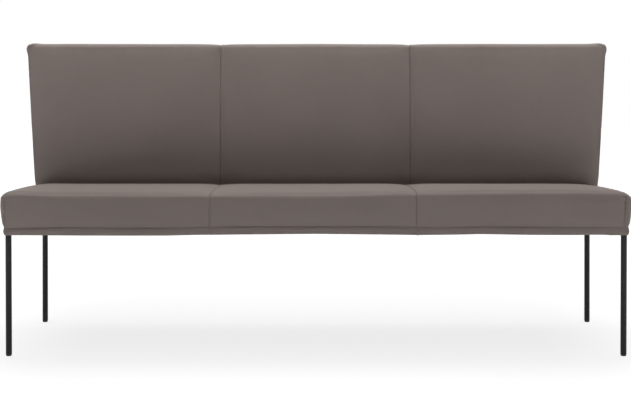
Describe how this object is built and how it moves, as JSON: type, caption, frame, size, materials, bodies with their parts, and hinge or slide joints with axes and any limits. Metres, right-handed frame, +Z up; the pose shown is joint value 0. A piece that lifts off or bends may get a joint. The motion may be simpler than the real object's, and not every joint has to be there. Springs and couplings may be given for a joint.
{
  "type": "upholstered dining bench",
  "caption": "Long dining bench with a reclined full-width backrest, sewn taupe leather panels over foam and slim round black steel legs",
  "frame": {"origin": "on the floor, under the middle of the bounding box", "axes": "+X along the bench, to the right as seen from the front; +Y to the rear; +Z up"},
  "size_m": [1.8958, 0.6124, 0.9249],
  "materials": {
    "taupe_leather": "semi-matt grain leather, taupe",
    "black_steel": "satin black powder coat",
    "zinc_steel": "zinc plated",
    "black_plastic": "moulded, matt",
    "plywood": "raw birch plywood",
    "hardboard": "raw pressed board",
    "spring_steel": "oiled spring wire",
    "grey_felt": "needled felt",
    "elastic_webbing": "woven elastic band",
    "dust_cloth": "black non-woven cloth",
    "foam": "cut polyurethane foam"
  },
  "bodies": {
    "root": {"back_board": "hardboard", "back_brackets": "black_steel", "back_cover_centre": "taupe_leather", "back_cover_left": "taupe_leather", "back_cover_right": "taupe_leather", "back_end_pad_left": "foam", "back_end_pad_right": "foam", "back_end_panel_left": "taupe_leather", "back_end_panel_right": "taupe_leather", "back_foam": "foam", "back_gable_end_left": "plywood", "back_gable_end_right": "plywood", "back_gable_inner_left": "plywood", "back_gable_inner_right": "plywood", "back_lower_rail": "plywood", "back_rear_pad": "foam", "back_top_foam": "foam", "back_top_rail": "plywood", "back_webbing": "elastic_webbing", "base_end_strip_left": "plywood", "base_end_strip_right": "plywood", "base_front_strip": "plywood", "base_rear_strip": "plywood", "bracket_bolts": "zinc_steel", "bracket_nuts": "zinc_steel", "bracket_screws": "zinc_steel", "dust_cover": "dust_cloth", "foot_glide_front_left": "black_plastic", "foot_glide_front_right": "black_plastic", "foot_glide_rear_left": "black_plastic", "foot_glide_rear_right": "black_plastic", "frame_cross_tube_left": "black_steel", "frame_cross_tube_right": "black_steel", "frame_end_tube_left": "black_steel", "frame_end_tube_right": "black_steel", "frame_front_tube": "black_steel", "frame_rear_tube": "black_steel", "frame_screws": "zinc_steel", "gable_screws": "zinc_steel", "leg_front_left": "black_steel", "leg_front_right": "black_steel", "leg_plate_front_left": "black_steel", "leg_plate_front_right": "black_steel", "leg_plate_rear_left": "black_steel", "leg_plate_rear_right": "black_steel", "leg_plate_screws": "zinc_steel", "leg_rear_left": "black_steel", "leg_rear_right": "black_steel", "seat_cover_centre": "taupe_leather", "seat_cover_left": "taupe_leather", "seat_cover_right": "taupe_leather", "seat_end_foam_left": "foam", "seat_end_foam_right": "foam", "seat_end_panel_left": "taupe_leather", "seat_end_panel_right": "taupe_leather", "seat_felt": "grey_felt", "seat_foam": "foam", "seat_front_foam": "foam", "seat_springs": "spring_steel", "spring_clips": "spring_steel"}
  },
  "joints": []
}
